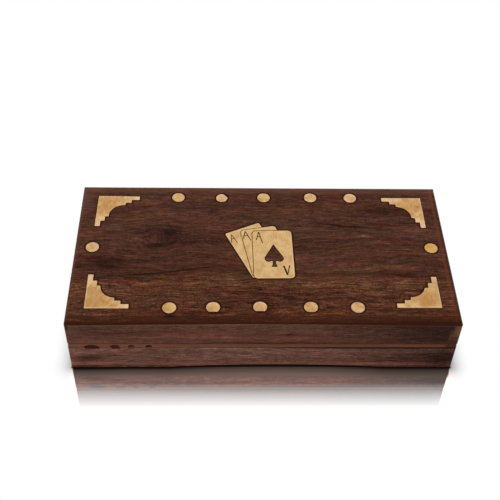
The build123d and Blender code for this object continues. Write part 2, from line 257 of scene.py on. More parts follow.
def outside_dots(x, y):
    nearest = FAR_AWAY
    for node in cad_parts:
        if node.startswith("inlay_dot"):
            low, high = box_of(node)
            middle = (low + high) / 2
            dot = length(x - middle.x, y - middle.y) - (high - low).x / 2
            nearest = dot.at_most(nearest)
    return nearest


def outside_brackets(x, y):
    """All four at once, each in the quarter of the board that it lies in."""
    right, behind = x.rises(-1.0, 1.0), y.rises(-1.0, 1.0)
    sizes = {}
    for quarter in ("front_left", "front_right", "back_left", "back_right"):
        low, high = box_of("inlay_corner_" + quarter)
        outer = max(abs(low.x), abs(high.x)), max(abs(low.y), abs(high.y))
        sizes[quarter] = (*outer, *(high - low).xy)

    def size(i):
        """One of the sizes of the bracket in whose quarter a place lies."""
        left_size, right_size = sizes["front_left"][i], sizes["front_right"][i]
        ahead = right * (right_size - left_size) + left_size
        left_size, right_size = sizes["back_left"][i], sizes["back_right"][i]
        rear = right * (right_size - left_size) + left_size
        return ahead + behind * (rear - ahead)

    aside, along = size(0) - abs(x), size(1) - abs(y)
    aside_over, along_over = aside - size(2), along - size(3)
    cut, middle, radius = BRACKET_THROAT
    broad = (aside_over + cut).at_least(along_over + cut)
    nearest = broad.at_least(radius - length(aside - middle, along - middle))
    for short, width in BRACKET_STEPS:
        nearest = nearest.at_most((aside_over + short).at_least(along - width))
        nearest = nearest.at_most((along_over + short).at_least(aside - width))
    return nearest.at_least(aside * -OUTER_SIDES_COUNT).at_least(along * -OUTER_SIDES_COUNT)


# Wood


def tones(*colours):
    """A ramp in even steps, from the wood's darkest veins to its palest fibres."""
    return [(i / (len(colours) - 1), paint(*colour)) for i, colour in enumerate(colours)]


# The wood's brown, and where it is redder, more golden or greyer
BROWN_TONES = tones((33, 13, 6), (55, 28, 18), (76, 45, 32), (98, 64, 48), (136, 96, 74))
RED_TONES = tones((38, 11, 6), (66, 28, 19), (91, 45, 33), (115, 66, 51), (152, 97, 77))
GOLD_TONES = tones((33, 14, 4), (59, 33, 15), (82, 52, 28), (106, 71, 41), (146, 104, 66))
ASH_TONES = tones((36, 18, 14), (58, 36, 31), (83, 56, 49), (105, 74, 65), (140, 104, 92))
MIDDLE_TONE = 0.52

# The grain's noises, by seed: clouds in a millimetre along it and across it, detail, roughness
GRAIN = {
    "drift": (0.014, 0.035, 2.0, 0.5),
    "clouds": (0.014, 0.06, 2.0, 0.5),
    "bands": (0.016, 0.3, 3.0, 0.6),
    "mottle": (0.22, 0.66, 3.0, 0.62),
    "fibres": (0.11, 1.5, 3.0, 0.65),
    "pores": (0.42, 2.2, 1.0, 0.5),
    "reds": (0.03, 0.2, 3.0, 0.6),
    "greys": (0.05, 0.16, 3.0, 0.65),
    "specks": (0.9, 1.3, 2.0, 0.6),
    "golds": (0.04, 0.12, 3.0, 0.65),
}
# How many millimetres the grain drifts, across the face and into it
DRIFT = (14.0, 5.0)
KNOT_SOFTNESS = 0.9
WOOD_RELIEF = 0.06
WOOD_SPECULAR = 0.04

# Stains and wear, and painted light and shade
# A pale band along the lid's lip and the base's rim: partly sanded wood and partly a painted highlight
LIP_TAN_AND_HIGHLIGHT = (paint(120, 76, 58), paint(106, 68, 44))
RUBBED_TAN = paint(106, 70, 43)
WORN_RED = paint(116, 56, 35)
# A painted highlight along the base's foot
FOOT_HIGHLIGHT = paint(146, 94, 80)
# A painted highlight along the arris under the lid's front rounding
ARRIS_HIGHLIGHT = paint(120, 88, 74)
# A painted sheen, greyer, on the top at its back and left
SHEEN_GREY = paint(120, 82, 66)
# Painted shadow in the seam and at the foot
GAP_SHADOW = paint(38, 15, 7)
# Painted shade in the chips
CHIP_SHADE = paint(64, 15, 2)
CORNER_DARK = paint(46, 22, 14)
END_DARK = paint(54, 20, 10)
# Painted shade on the top's front edge
FRONT_EDGE_SHADE = paint(62, 27, 14)
# Painted shade in the groove above the lip and on the roundings
GROOVE_AND_ROUNDING_SHADE = paint(50, 20, 9)
LAC_STAIN = paint(50, 17, 5)
BLEMISH_DARK = paint(32, 11, 5)
FRONT_SHADE = (0.72, 0.6, 0.42, 1.0)
FRONT_WARMTH = (1.07, 1.0, 0.8, 1.0)

# Where paint sets in, from none to full: on the rails' front face, on the top board's and at the
# right end's corner
RAIL_FACE = (front + 0.7, front + 0.6)
BOARD_FACE = (front + 2.5, front + 2.0)
RIGHT_CORNER = (right_end - 5.0, right_end - 1.8)


def spot(along, across, place, reach, slope=0.0):
    """A soft spot or streak in the grain: 1 at its middle, fading out over its reach each way."""
    far = (along - place[0]) / reach[0]
    aside = (across - place[1] - (along - place[0]) * slope) / reach[1]
    return (far * far + aside * aside + 1.0) ** -2.0


def round_knot(along, across, place, radius):
    """The fibres part and flow round a knot, as water does round a post."""
    far, aside = along - place[0], across - place[1]
    spread = far * far + aside * aside + radius * radius * KNOT_SOFTNESS
    return across - aside * (radius * radius) / spread


def wood_finish(
    name, grain, seed, tone=0.0, contrast=1.0, redness=0.0, gold=0.0, ash=0.0,
    upright=False, veins=(), glows=(), knot=None, lively=None,
):
    """Dark streaky hardwood, with its grain along X or Y.

    At the front, an end rail shows the front rail's grain: they were sawn and stained as one. Across
    the face, the grain gets livelier and paler from the first place in lively to the second.
    Veins are (place, reach, slope, strength) of streaks that are darker or paler than the wood, and
    glows the same for streaks that are redder and a little paler. Places run along the grain and across
    the face, which stands upright on the front and back rails.
    """
    wood = Finish(name)
    x, y, z = wood.axes(wood.place)
    if grain == "X":
        along, across, deep = (x, z, y) if upright else (x, y, z)
    else:
        turned = y.rises(*RAIL_FACE)
        along, across, deep = y + turned * (x - y), x + turned * (z - x), z + turned * (y - z)
    flow = round_knot(along, across, *knot) if knot else across

    def layer(kind, vector):
        long, wide, detail, roughness = GRAIN[kind]
        own_seed = seed + list(GRAIN).index(kind)
        return wood.noise(vector, (long, wide, wide), own_seed, detail, roughness)

    drift = layer("drift", wood.vector(along, flow, deep)) - 0.5
    bent_across = flow + drift * DRIFT[0]
    bent = wood.vector(along, bent_across, deep + drift * DRIFT[1])
    clouds, bands = layer("clouds", bent) - 0.5, layer("bands", bent) - 0.5
    mottle, fibres = layer("mottle", bent) - 0.5, layer("fibres", bent) - 0.5
    specks = layer("specks", bent) - 0.5
    pores = layer("pores", bent).rises(0.60, 0.72)
    streaks = fibres * 1.05 + specks * 0.55 - pores * 0.25
    shade = clouds * 0.5 + bands * 0.6 + mottle * 0.62
    middle = MIDDLE_TONE + tone
    if lively:
        zone = across.rises(*lively)
        shade = (shade + streaks * (zone * 0.65 + 1.0)) * contrast + zone * 0.08 + middle
    else:
        shade = (shade + streaks) * contrast + middle

    wobble = bent_across - flow + across + bands * 2.5
    reds = layer("reds", bent).rises(0.38, 0.62) + specks + redness
    for place, reach, slope, strength in veins:
        shade = shade + spot(along, wobble, place, reach, slope) * strength
    for place, reach, slope, strength in glows:
        glow = spot(along, wobble, place, reach, slope)
        shade = shade + glow * strength
        reds = reds + glow
    golds = layer("golds", bent).rises(0.4, 0.68) + specks * 1.5
    greys = layer("greys", bent).rises(0.45, 0.72) - specks * 1.5
    colour = wood.mix(reds.kept(0.0, 1.0), wood.ramp(shade, BROWN_TONES), wood.ramp(shade, RED_TONES))
    colour = wood.mix((golds * 0.5 + gold).kept(0.0, 1.0), colour, wood.ramp(shade, GOLD_TONES))
    colour = wood.mix((greys * 0.35 + ash).kept(0.0, 1.0), colour, wood.ramp(shade, ASH_TONES))
    relief = fibres * 0.5 + mottle * 0.3 - pores * 0.6 + 0.5
    return wood, colour, relief, shade, (x, y, z)


def show_wood(wood, colour, relief, shade):
    return wood.show(
        Base_Color=colour,
        Roughness=(1.0 - shade) * 0.2 + 0.3,
        Specular_IOR_Level=WOOD_SPECULAR,
        Normal=wood.bump(relief, WOOD_RELIEF),
    )


# The lid's top board, with the marks that its own wood shows
TOP_VEINS = (
    ((-48.0, -17.0), (34.0, 0.5), 0.12, -0.5),
    ((64.0, -17.6), (36.0, 1.6), -0.01, -0.34),
    ((46.0, 19.0), (15.0, 0.7), -0.12, -0.5),
    ((-84.0, -10.0), (15.0, 6.5), 0.0, -0.38),
    ((-51.0, 14.0), (7.0, 5.0), 0.0, -0.3),
    ((-58.0, 4.0), (10.0, 2.2), 0.1, -0.3),
    ((-48.3, -46.3), (3.0, 1.2), 0.0, -0.7),
    ((33.5, -39.5), (1.6, 0.45), 0.0, -0.6),
    ((-24.0, -26.5), (3.0, 0.8), 0.0, -0.4),
    ((10.0, -33.0), (34.0, 1.4), -0.1, -0.2),
    ((66.0, 30.0), (22.0, 3.0), -0.02, -0.22),
    ((-10.0, 8.0), (26.0, 3.5), 0.0, -0.12),
    ((90.0, -50.5), (22.0, 1.5), 0.0, -0.5),
    ((-84.0, -50.5), (20.0, 1.2), 0.0, -0.2),
)
TOP_GLOWS = (
    ((56.0, 10.5), (6.5, 1.9), 0.0, 0.36),
    ((45.0, -9.5), (9.0, 1.5), 0.0, 0.16),
    ((-60.0, -24.5), (30.0, 1.6), 0.03, 0.16),
    ((30.0, -26.0), (18.0, 2.4), 0.0, 0.14),
    ((-66.0, 7.5), (7.0, 3.2), -0.1, 0.22),
    ((70.0, -12.0), (14.0, 1.6), 0.0, 0.14),
    ((30.0, 33.0), (30.0, 3.0), 0.0, 0.08),
)
# The knot's middle and radius, where the grain gets livelier, and a dark blemish's middle
TOP_KNOT = ((-57.0, 9.0), 8.0)
TOP_LIVELY = (-17.0, -25.0)
BLEMISH = (-47.9, -45.8)
# The dark rounding: how far below the top it ends in the middle, and how much lower at the ends
ROUNDING_DROP, ROUNDING_BOW = 1.25, 1.2


def top_wear(wood, colour, shade, x, y):
    """The top is worn red at its ends and darker on its right end, greyer with a painted sheen at the
    back and left, and darker in front with painted shade, most of all at the front edge.
    """
    worn = x.within(right_end - 4.0, right_end - 2.2, 0.5) + x.rises(left_end + 2.4, left_end + 1.2)
    colour = wood.mix(worn * 0.5, colour, WORN_RED)
    colour = wood.mix(x.rises(right_end - 2.4, right_end - 1.6) * 0.65, colour, END_DARK)
    # A painted sheen at the back and left
    back_sheen = x.rises(left_end + 10.0, left_end + 3.0) * y.rises(back - 30.0, back - 12.0)
    back_sheen = back_sheen.at_least(y.rises(back - 7.5, back - 4.0))
    colour = wood.mix(back_sheen * 0.35, colour, SHEEN_GREY)
    shaded = y.rises(front + 15.0, front + 5.0) * (x.rises(-98.0, -60.0) * 0.6 + 0.15)
    colour = wood.mix(shaded, colour, FRONT_SHADE, "MULTIPLY")
    colour = wood.mix(y.rises(front + 38.0, front + 28.0) * 0.7, colour, FRONT_WARMTH, "MULTIPLY")
    # Painted shade on the front edge and its rounding
    colour = wood.mix(y.rises(front + 5.4, front + 4.0) * 0.7, colour, FRONT_EDGE_SHADE)
    aside, along = (x - BLEMISH[0]) * 0.38, (y - BLEMISH[1]) * 0.8
    blemish = (aside * aside + along * along + shade * 2.4 - 1.2).rises(1.3, 0.3)
    return wood.mix(blemish * 0.75, colour, BLEMISH_DARK)


def top_edges(wood, colour, shade, x, y, z):
    """Painted shade on the roundings, with plain grain under them at the back and sides.

    The front one ends in a painted highlight, a pale line bowed a little, over the lid's front face.
    """
    deep = top - z
    plain = deep.rises(1.4, 2.6) * y.rises(front + 2.0, front + 2.6)
    # Painted shade on the roundings
    colour = wood.mix(deep.rises(0.1, 0.9) * (0.85 - plain * 0.6), colour, GROOVE_AND_ROUNDING_SHADE)
    under = deep - (x * x * (ROUNDING_BOW / right_end ** 2) + ROUNDING_DROP)
    below = under.rises(-0.25, 0.25) * y.rises(*BOARD_FACE)
    face = below * (1.0 - abs(x).rises(right_end - 2.6, right_end - 1.0))
    duller = x.rises(-10.0, 70.0) * -0.24 + 0.24
    colour = wood.mix(face, colour, wood.ramp(shade * 0.6 + duller, BROWN_TONES))
    # A painted highlight along the arris
    pale = under.within(0.0, 0.9, 0.2) * face * (0.25 - x.rises(0.0, 80.0) * 0.15)
    colour = wood.mix(pale, colour, ARRIS_HIGHLIGHT)
    return wood.mix(below * x.rises(*RIGHT_CORNER) * 0.7, colour, RUBBED_TAN)


def top_board_wood():
    wood, colour, relief, shade, (x, y, z) = wood_finish(
        "top_board_wood", "X", 1.0, tone=-0.05, redness=0.1, gold=0.1, ash=0.08,
        veins=TOP_VEINS, glows=TOP_GLOWS, knot=TOP_KNOT, lively=TOP_LIVELY,
    )
    colour = top_wear(wood, colour, shade, x, y)
    outside = outside_cards(x, y).at_most(outside_dots(x, y)).at_most(outside_brackets(x, y))
    colour = wood.mix(outside.within(-0.5, 1.0, 0.25) * 0.75, colour, LAC_STAIN)
    colour = top_edges(wood, colour, shade, x, y, z)
    return show_wood(wood, colour, relief, shade)


# The painted contact shadow at the box's foot, fading into a painted reflection of the box, from the
# dark line down
FOOT_SHADOW_AND_REFLECTION = (
    (0.00, paint(22, 14, 10)),
    (0.10, paint(50, 40, 37)),
    (0.20, paint(70, 57, 53)),
    (0.35, paint(81, 67, 61)),
    (0.55, paint(92, 76, 68)),
    (0.75, paint(106, 87, 79)),
    (1.00, paint(118, 95, 86)),
)
# How much of it a millimetre down the face and a millimetre out on the table take up, and how
# much of it the line hides
FACE_SHARE, TABLE_SHARE, HIDDEN_SHARE = 0.118, 0.159, 0.096

# The bands along the rails: the lip's pale band, the groove's painted shade, the painted seam shadow
# under the chips and the foot's painted highlight. From, to and how softly they end. The first two
# are counted up from the lid's rim, the third down from the base's, and the last up from the table.
LIP_BAND = (0.35, 2.5, 0.2)
GROOVE_BAND = (2.6, 3.5, 0.25)
CHIP_LINE_BAND = (0.75, 1.0, 0.12)
FOOT_BAND = (2.6, 5.4, 0.7)

# The middle and half the length of the chips that the seam shows on the base's side, where their shade
# is painted
CHIPS = ((-89.0, 3.9), (-76.8, 2.2), (-68.7, 1.4), (-59.8, 1.4))
CHIP_EDGE = 0.3


def foot_line(x):
    """How high the painted contact shadow at the foot stands: the underside is a little hollow along the
    front.
    """
    aside = (x - 8.0) / 54.0
    return (2.75 - aside * aside * 2.0).at_least(x.rises(-95.0, -68.0) * 0.65 - 0.2)


def outer_skin(x, y):
    """1 on the rails' outer faces, which the painted seam shadow, the lip's pale band, the groove's
    painted shade and the foot's painted highlight stay on.
    """
    skin = y.rises(front + 1.6, front + 1.2).at_least(y.rises(back - 1.6, back - 1.2))
    return skin.at_least(abs(x).rises(right_end - 1.6, right_end - 1.2))


def seam_shadow(x, skin):
    """The seam's painted shadow, darker towards the right."""
    return x.rises(-20.0, 50.0) * skin * 0.9


def lip_wear(wood, colour, shade, x, y, z):
    """The lid's lip has a pale band, partly sanded wood and partly a painted highlight, under a groove
    in painted shade and over a painted seam shadow; chips are broken out of its front, with painted
    shade in them.
    """
    above, skin = z - lid_rim, outer_skin(x, y)
    shadow = seam_shadow(x, skin)
    corner = x.rises(right_end - 8.0, right_end - 4.2) * y.rises(*RAIL_FACE)
    # The lip's pale band: partly sanded wood and partly a painted highlight
    worn = above.within(*LIP_BAND) * (1.0 - corner * 0.7) * skin * (0.62 - shade * 0.25)
    colour = wood.mix(worn, colour, wood.mix(x.rises(-60.0, 70.0), *LIP_TAN_AND_HIGHLIGHT))
    # Painted shade in the groove
    groove = above.within(*GROOVE_BAND) * skin * (shadow * 0.3 + 0.62)
    colour = wood.mix(groove, colour, GROOVE_AND_ROUNDING_SHADE)
    # Painted shadow in the seam
    colour = wood.mix(above.rises(0.65, 0.3) * shadow, colour, GAP_SHADOW)
    # Painted shade in the chips broken out of the front
    height = 1.5 - x.rises(-82.0, -62.0) * 1.2
    broken = y.within(front + 0.7, front + 2.2, 0.15) * (above - height).rises(0.15, -0.15)
    colour = wood.mix(broken * abs(x).rises(96.5, 95.5) * 0.9, colour, CHIP_SHADE)
    colour = wood.mix(corner * 0.4, colour, CORNER_DARK)
    rubbed = corner * above.rises(8.5, 12.0) * x.rises(*RIGHT_CORNER)
    return wood.mix(rubbed * 0.7, colour, RUBBED_TAN)


def foot_wear(wood, colour, shade, x, y, z):
    """The base shows the lid's chips at its rim in painted shade, in a pale band that is partly sanded
    wood and partly a painted highlight, over a painted seam shadow, and a painted highlight along its
    foot.

    At the front, the foot is dark where it lifts off the table: a painted contact shadow, fading down
    into a painted reflection of the box. On the other sides the foot has a painted contact shadow.
    """
    below_rim, skin = base_rim - z, outer_skin(x, y)
    chipped_side = x.rises(-40.0, -58.0) * y.rises(front + 1.0, front + 0.5)
    # The pale band at the base's rim: partly sanded wood and partly a painted highlight
    tan = below_rim.rises(0.9, 0.7) * chipped_side
    colour = wood.mix(tan * 0.7, colour, LIP_TAN_AND_HIGHLIGHT[0])
    # Painted shadow in the seam under the pale band
    line = below_rim.within(*CHIP_LINE_BAND) * chipped_side
    colour = wood.mix(line * 0.8, colour, GAP_SHADOW)
    # Painted shade where the lid's chips show at the base's rim
    chips = sum(abs(x - middle).rises(half + CHIP_EDGE, half - CHIP_EDGE) for middle, half in CHIPS)
    colour = wood.mix(tan * chips * (0.9 - x.rises(-80.0, -62.0) * 0.6), colour, CHIP_SHADE)
    # A painted highlight along the foot
    band = z.within(*FOOT_BAND) * skin
    band = band * (x.rises(-72.0, -90.0) * 0.35 + 0.4) * (shade * 1.5 + 0.1)
    colour = wood.mix(band, colour, FOOT_HIGHLIGHT)
    # At the front, a painted contact shadow fading down into a painted reflection of the box
    below = foot_line(x) - z
    ahead = y.rises(front + 1.2, front + 0.9)
    under = wood.ramp(below * FACE_SHARE - HIDDEN_SHARE, FOOT_SHADOW_AND_REFLECTION)
    colour = wood.mix(below.rises(-0.85, -0.3) * ahead, colour, under)
    # A painted contact shadow along the foot on the other sides, and a painted shadow in the seam
    colour = wood.mix(z.rises(1.2, 0.3) * (0.8 - ahead * 0.8), colour, GAP_SHADOW)
    return wood.mix(below_rim.rises(0.8, 0.4) * seam_shadow(x, skin), colour, GAP_SHADOW)


def rail_wood(name, grain, seed, lip=False, foot=False, **grain_settings):
    """A rail's wood, with what its lip or its foot shows."""
    wood, colour, relief, shade, place = wood_finish(name, grain, seed, **grain_settings)
    if lip:
        colour = lip_wear(wood, colour, shade, *place)
    if foot:
        colour = foot_wear(wood, colour, shade, *place)
    return show_wood(wood, colour, relief, shade)


# The broad fourth streak darkens the lid front's right end as a whole
LID_FRONT_VEINS = (
    ((-80.0, 30.5), (20.0, 3.0), 0.0, -0.22),
    ((13.0, 30.0), (3.2, 1.0), 0.0, -0.4),
    ((-8.0, 22.4), (34.0, 0.8), 0.0, -0.3),
    ((92.0, 28.5), (36.0, 12.0), 0.0, -0.5),
    ((-45.0, 34.0), (3.0, 2.0), 0.0, -0.12),
    ((22.0, 18.2), (0.9, 0.5), 0.0, -0.9),
    ((35.0, 18.2), (1.4, 0.5), 0.0, -0.9),
)
LID_FRONT_GLOWS = (
    ((-20.0, 26.5), (13.0, 1.5), 0.0, 0.24),
    ((-62.0, 26.0), (16.0, 1.5), 0.0, 0.14),
    ((12.0, 27.5), (10.0, 2.0), 0.0, 0.1),
)
# The first and last streaks darken the base front's right end as a whole
BASE_FRONT_VEINS = (
    ((99.0, 9.0), (15.0, 9.0), 0.0, -0.24),
    ((-93.0, 9.0), (6.0, 9.0), 0.0, -0.2),
    ((-90.0, 10.0), (14.0, 2.6), 0.0, -0.25),
    ((68.0, 7.4), (26.0, 0.8), 0.0, -0.32),
    ((-58.0, 14.0), (1.8, 0.8), 0.0, -0.5),
    ((104.0, 11.5), (62.0, 9.0), 0.0, -0.46),
)
BASE_FRONT_GLOWS = (
    ((-96.0, 15.0), (6.0, 2.0), 0.0, 0.15),
    ((30.0, 12.0), (30.0, 2.0), 0.0, 0.08),
)

# The rails that were sawn from the same stock as the lid's front and as the base's front
# Their paler, greyer tone is partly their own wood and partly painted light: a painted bounce from the
# table and a painted sheen, most on the base's rails
LID_FRONT = dict(
    seed=2.0, lip=True, tone=-0.01, contrast=0.74, gold=0.05, ash=0.2,
    veins=LID_FRONT_VEINS, glows=LID_FRONT_GLOWS,
)
BASE_FRONT = dict(
    seed=6.0, foot=True, tone=0.155, contrast=0.92, redness=-0.3, gold=-0.1, ash=0.55,
    veins=BASE_FRONT_VEINS, glows=BASE_FRONT_GLOWS,
)

WOODS = {
    "lid_top_panel": top_board_wood(),
    "lid_front_rail": rail_wood("lid_front_wood", "X", upright=True, **LID_FRONT),
    "lid_back_rail": rail_wood("lid_back_wood", "X", 3.0, lip=True, ash=0.15, upright=True),
    "lid_left_rail": rail_wood("lid_left_wood", "Y", **LID_FRONT),
    "lid_right_rail": rail_wood("lid_right_wood", "Y", 5.0, lip=True, tone=-0.1, gold=0.3),
    "base_front_rail": rail_wood("base_front_wood", "X", upright=True, **BASE_FRONT),
    "base_back_rail": rail_wood("base_back_wood", "X", 7.0, foot=True, tone=0.08, ash=0.4, upright=True),
    "base_left_rail": rail_wood("base_left_wood", "Y", **BASE_FRONT),
    "base_right_rail": rail_wood("base_right_wood", "Y", **BASE_FRONT),
    "base_floor": rail_wood("base_floor_wood", "X", upright=True, **BASE_FRONT),
    "divider_left": rail_wood("divider_left_wood", "Y", 11.0),
    "divider_right": rail_wood("divider_right_wood", "Y", 12.0),
}


# Brass

# A painted highlight along the brass pieces' rims
RIM_HIGHLIGHT_BRASS = paint(240, 206, 162)
SCRATCH_PALE = paint(250, 222, 178)
CROSSING_PALE = paint(246, 212, 164)
GRIME_BROWN = paint(168, 118, 60)
SPOT_BROWN = paint(132, 84, 34)
BRASS_RELIEF = 0.012
BRASS_SPECULAR = 0.05

# The lac in the engraved lines: where it starts and is full, under the top, and its colours
LAC_DEPTHS = (0.05, 0.14)
LAC_WORN = paint(116, 70, 30)
LAC_RUBBED = paint(154, 106, 68)
LAC_BOLD = paint(72, 34, 8)


def brass_finish(
    name, tarnished, bright, seed, scratch=0.16, engraved=False, heart=None, corner=None, stain=None,
):
    """Sanded sheet brass: fine scratches two ways, faint tarnish and, on some pieces, a deeper heart.

    A heart is its colour, its middle, and how far it reaches before and after it fades. A corner is
    the place from which two legs run whose outer edges and tips get a painted highlight. A stain is the
    place of a small brown spot.
    """
    brass = Finish(name)
    x, y, z = brass.axes(brass.place)
    scratches = brass.noise(brass.place, (7.0, 0.25, 1.0), seed)
    crossing = brass.noise(brass.place, (0.4, 6.0, 1.0), seed + 1.0)
    tarnish = brass.noise(brass.place, (0.25, 0.2, 0.2), seed + 2.0, 4.0, 0.65)
    grime = brass.noise(brass.place, (1.1, 0.5, 0.5), seed + 4.0, 3.0, 0.65)
    colour = brass.mix(tarnish.rises(0.36, 0.66), bright, tarnished)
    if heart:
        tint, middle, (near, gone) = heart
        far = length(x - middle[0], y - middle[1])
        colour = brass.mix((far + tarnish * 2.0 - 1.0).rises(gone, near) * 0.6, colour, tint)
    if engraved:
        # A painted highlight along the cards' rims
        colour = brass.mix(outside_cards(x, y).rises(-0.9, -0.3) * 0.4, colour, RIM_HIGHLIGHT_BRASS)
    if corner:
        # A painted highlight along the outer edges and the tips
        aside, along = abs(x - corner[0]), abs(y - corner[1])
        rim = aside.at_most(along).rises(1.1, 0.2) * 0.4
        tip = aside.at_least(along).rises(15.0, 21.0) * 0.5
        colour = brass.mix(rim.at_least(tip), colour, RIM_HIGHLIGHT_BRASS)
    colour = brass.mix(grime.rises(0.55, 0.8) * 0.2, colour, GRIME_BROWN)
    if stain:
        far = length(x - stain[0], (y - stain[1]) * 1.4)
        colour = brass.mix((far + grime).rises(2.1, 0.9) * 0.6, colour, SPOT_BROWN)
    colour = brass.mix(scratches.rises(0.5, 0.8) * 0.4, colour, SCRATCH_PALE)
    colour = brass.mix(crossing.rises(0.55, 0.8) * 0.3, colour, CROSSING_PALE)
    metal = 1.0
    rough = scratches * scratch + crossing * 0.1 + tarnish * 0.12 + 0.2
    if engraved:
        lac = (top - z).rises(*LAC_DEPTHS)
        bold_letter = x.rises(10.6, 10.9) * y.rises(-10.2, -10.6)
        worn = brass.mix((x + grime * 3.0).rises(-8.0, -11.0), LAC_WORN, LAC_RUBBED)
        colour = brass.mix(lac, colour, brass.mix(bold_letter, worn, LAC_BOLD))
        metal = 1.0 - lac
        rough = rough + lac * 0.3
    return brass.show(
        Base_Color=colour,
        Metallic=metal,
        Roughness=rough,
        Specular_IOR_Level=BRASS_SPECULAR,
        Normal=brass.bump(scratches + crossing, BRASS_RELIEF),
    )


# A bracket's heart lies in from its corner, and one bracket has a spot
HEART_INSET = 6.0
BACK_RIGHT_STAIN = (89.7, 34.2)

# The dots' brass, tarnished and bright, the tint of the heart and how far it reaches
DOT_BRASS = (paint(194, 151, 98), paint(230, 192, 145), paint(212, 150, 98), (0.4, 3.2))
GOLDEN_DOT_BRASS = (paint(192, 148, 86), paint(226, 188, 132), paint(206, 154, 96), (0.2, 2.8))
RIGHT_DOT_BRASS = (paint(190, 136, 60), paint(220, 172, 100), paint(212, 150, 98), (0.4, 3.2))
GOLDEN_DOTS = ("back_1", "back_3", "front_1", "front_2", "front_4")


def bracket_brass(node, seed):
    """A bracket is a deeper gold in its broad part, and a little duller in front: painted shade."""
    low, high = box_of(node)
    x = low.x if node.endswith("left") else high.x
    y = low.y if "front" in node else high.y
    middle = (x - math.copysign(HEART_INSET, x), y - math.copysign(HEART_INSET, y))
    # The front brackets' bright tone is painted duller: painted shade
    bright = paint(222, 184, 132) if "front" in node else paint(232, 192, 138)
    return brass_finish(
        node + "_brass", paint(192, 142, 82), bright, seed,
        heart=(paint(184, 128, 62), middle, (2.0, 10.0)), corner=(x, y),
        stain=BACK_RIGHT_STAIN if node.endswith("back_right") else None,
    )


def dot_brass(node, seed):
    """A dot has a rosier or a more golden middle."""
    kind = DOT_BRASS
    if node.endswith(GOLDEN_DOTS):
        kind = GOLDEN_DOT_BRASS
    if node == "inlay_dot_right":
        kind = RIGHT_DOT_BRASS
    tarnished, bright, tint, reach = kind
    low, high = box_of(node)
    heart = (tint, ((low + high) / 2).xy, reach)
    return brass_finish(node + "_brass", tarnished, bright, seed, heart=heart)


def lac_finish():
    """Dark lac, paler where it has run thin round the brackets."""
    lac = Finish("dark_lac")
    x, y, _ = lac.axes(lac.place)
    cloudy = lac.noise(lac.place, (0.8, 0.8, 0.8), 1.0)
    thinned = outside_brackets(x, y).within(0.4, 1.8, 0.2) * 0.7
    colour = lac.mix(cloudy, paint(30, 11, 4), paint(52, 23, 10))
    return lac.show(
        Base_Color=lac.mix(thinned, colour, paint(92, 58, 36)),
        Roughness=lac.noise(lac.place, (2.0, 2.0, 2.0), 2.0) * 0.2 + 0.4,
        Specular_IOR_Level=WOOD_SPECULAR,
    )


hinge_brass = brass_finish("hinge_brass", paint(170, 128, 66), paint(206, 164, 96), 1.0)
screw_brass = brass_finish("screw_brass", paint(150, 112, 58), paint(196, 156, 92), 2.0, scratch=0.25)
card_brass = brass_finish("card_brass", paint(206, 164, 106), paint(224, 186, 130), 3.0, engraved=True)


# Dressing the boards and the brass

# The first seed of the inlays' own brass
FIRST_INLAY_SEED = 10


def dress(node, material):
    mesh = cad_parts[node].data
    mesh.materials.clear()
    mesh.materials.append(material)


for node, material in WOODS.items():
    dress(node, material)
for seed, node in enumerate(sorted(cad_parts), FIRST_INLAY_SEED):
    if node.startswith("inlay_corner"):
        dress(node, bracket_brass(node, seed))
    elif node.startswith("inlay_dot"):
        dress(node, dot_brass(node, seed))
    elif node.startswith("hinge_screws"):
        dress(node, screw_brass)
    elif node.startswith("hinge_"):
        dress(node, hinge_brass)
dress("inlay_cards", card_brass)


# Dark lac, pressed into the groove round every inlay

LAC_BELOW_TOP = 0.03
LAC_ABOVE_FLOOR = 0.05
# Places nearer than this count as one, in millimetres
SAME_HEIGHT = 0.01
SAME_PLACE = 0.001
# A face is flat where its normal's share along Z is more than this
FLAT = 0.9


def flat_outline(node, height, facing):
    """The edges round a node's flat faces at one height, as pairs of places."""
    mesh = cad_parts[node].data
    met = {}
    for face in mesh.polygons:
        corners = [mesh.vertices[v].co for v in face.vertices]
        level = all(abs(corner.z - height) <= SAME_HEIGHT * MM for corner in corners)
        if face.normal.z * facing < FLAT or not level:
            continue
        keys = [(round(corner.x / MM, 3), round(corner.y / MM, 3)) for corner in corners]
        for one, other in zip(keys, keys[1:] + keys[:1]):
            pair = frozenset((one, other))
            met[pair] = met.get(pair, 0) + 1
    return [tuple(pair) for pair, count in met.items() if count == 1 and len(pair) == 2]


def groove_outlines(floor):
    """One mesh of bare edges: the pockets' outlines and, inside them, those of the brass."""
    edges = flat_outline("lid_top_panel", floor, 1)
    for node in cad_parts:
        if node.startswith("inlay_"):
            edges += flat_outline(node, floor, -1)
    places = sorted({place for edge in edges for place in edge})
    number = {place: i for i, place in enumerate(places)}
    vertices = [(x * MM, y * MM, 0) for x, y in places]
    mesh = bpy.data.meshes.new("lac_in_grooves")
    mesh.from_pydata(vertices, [[number[place] for place in edge] for edge in edges], [])
    return mesh


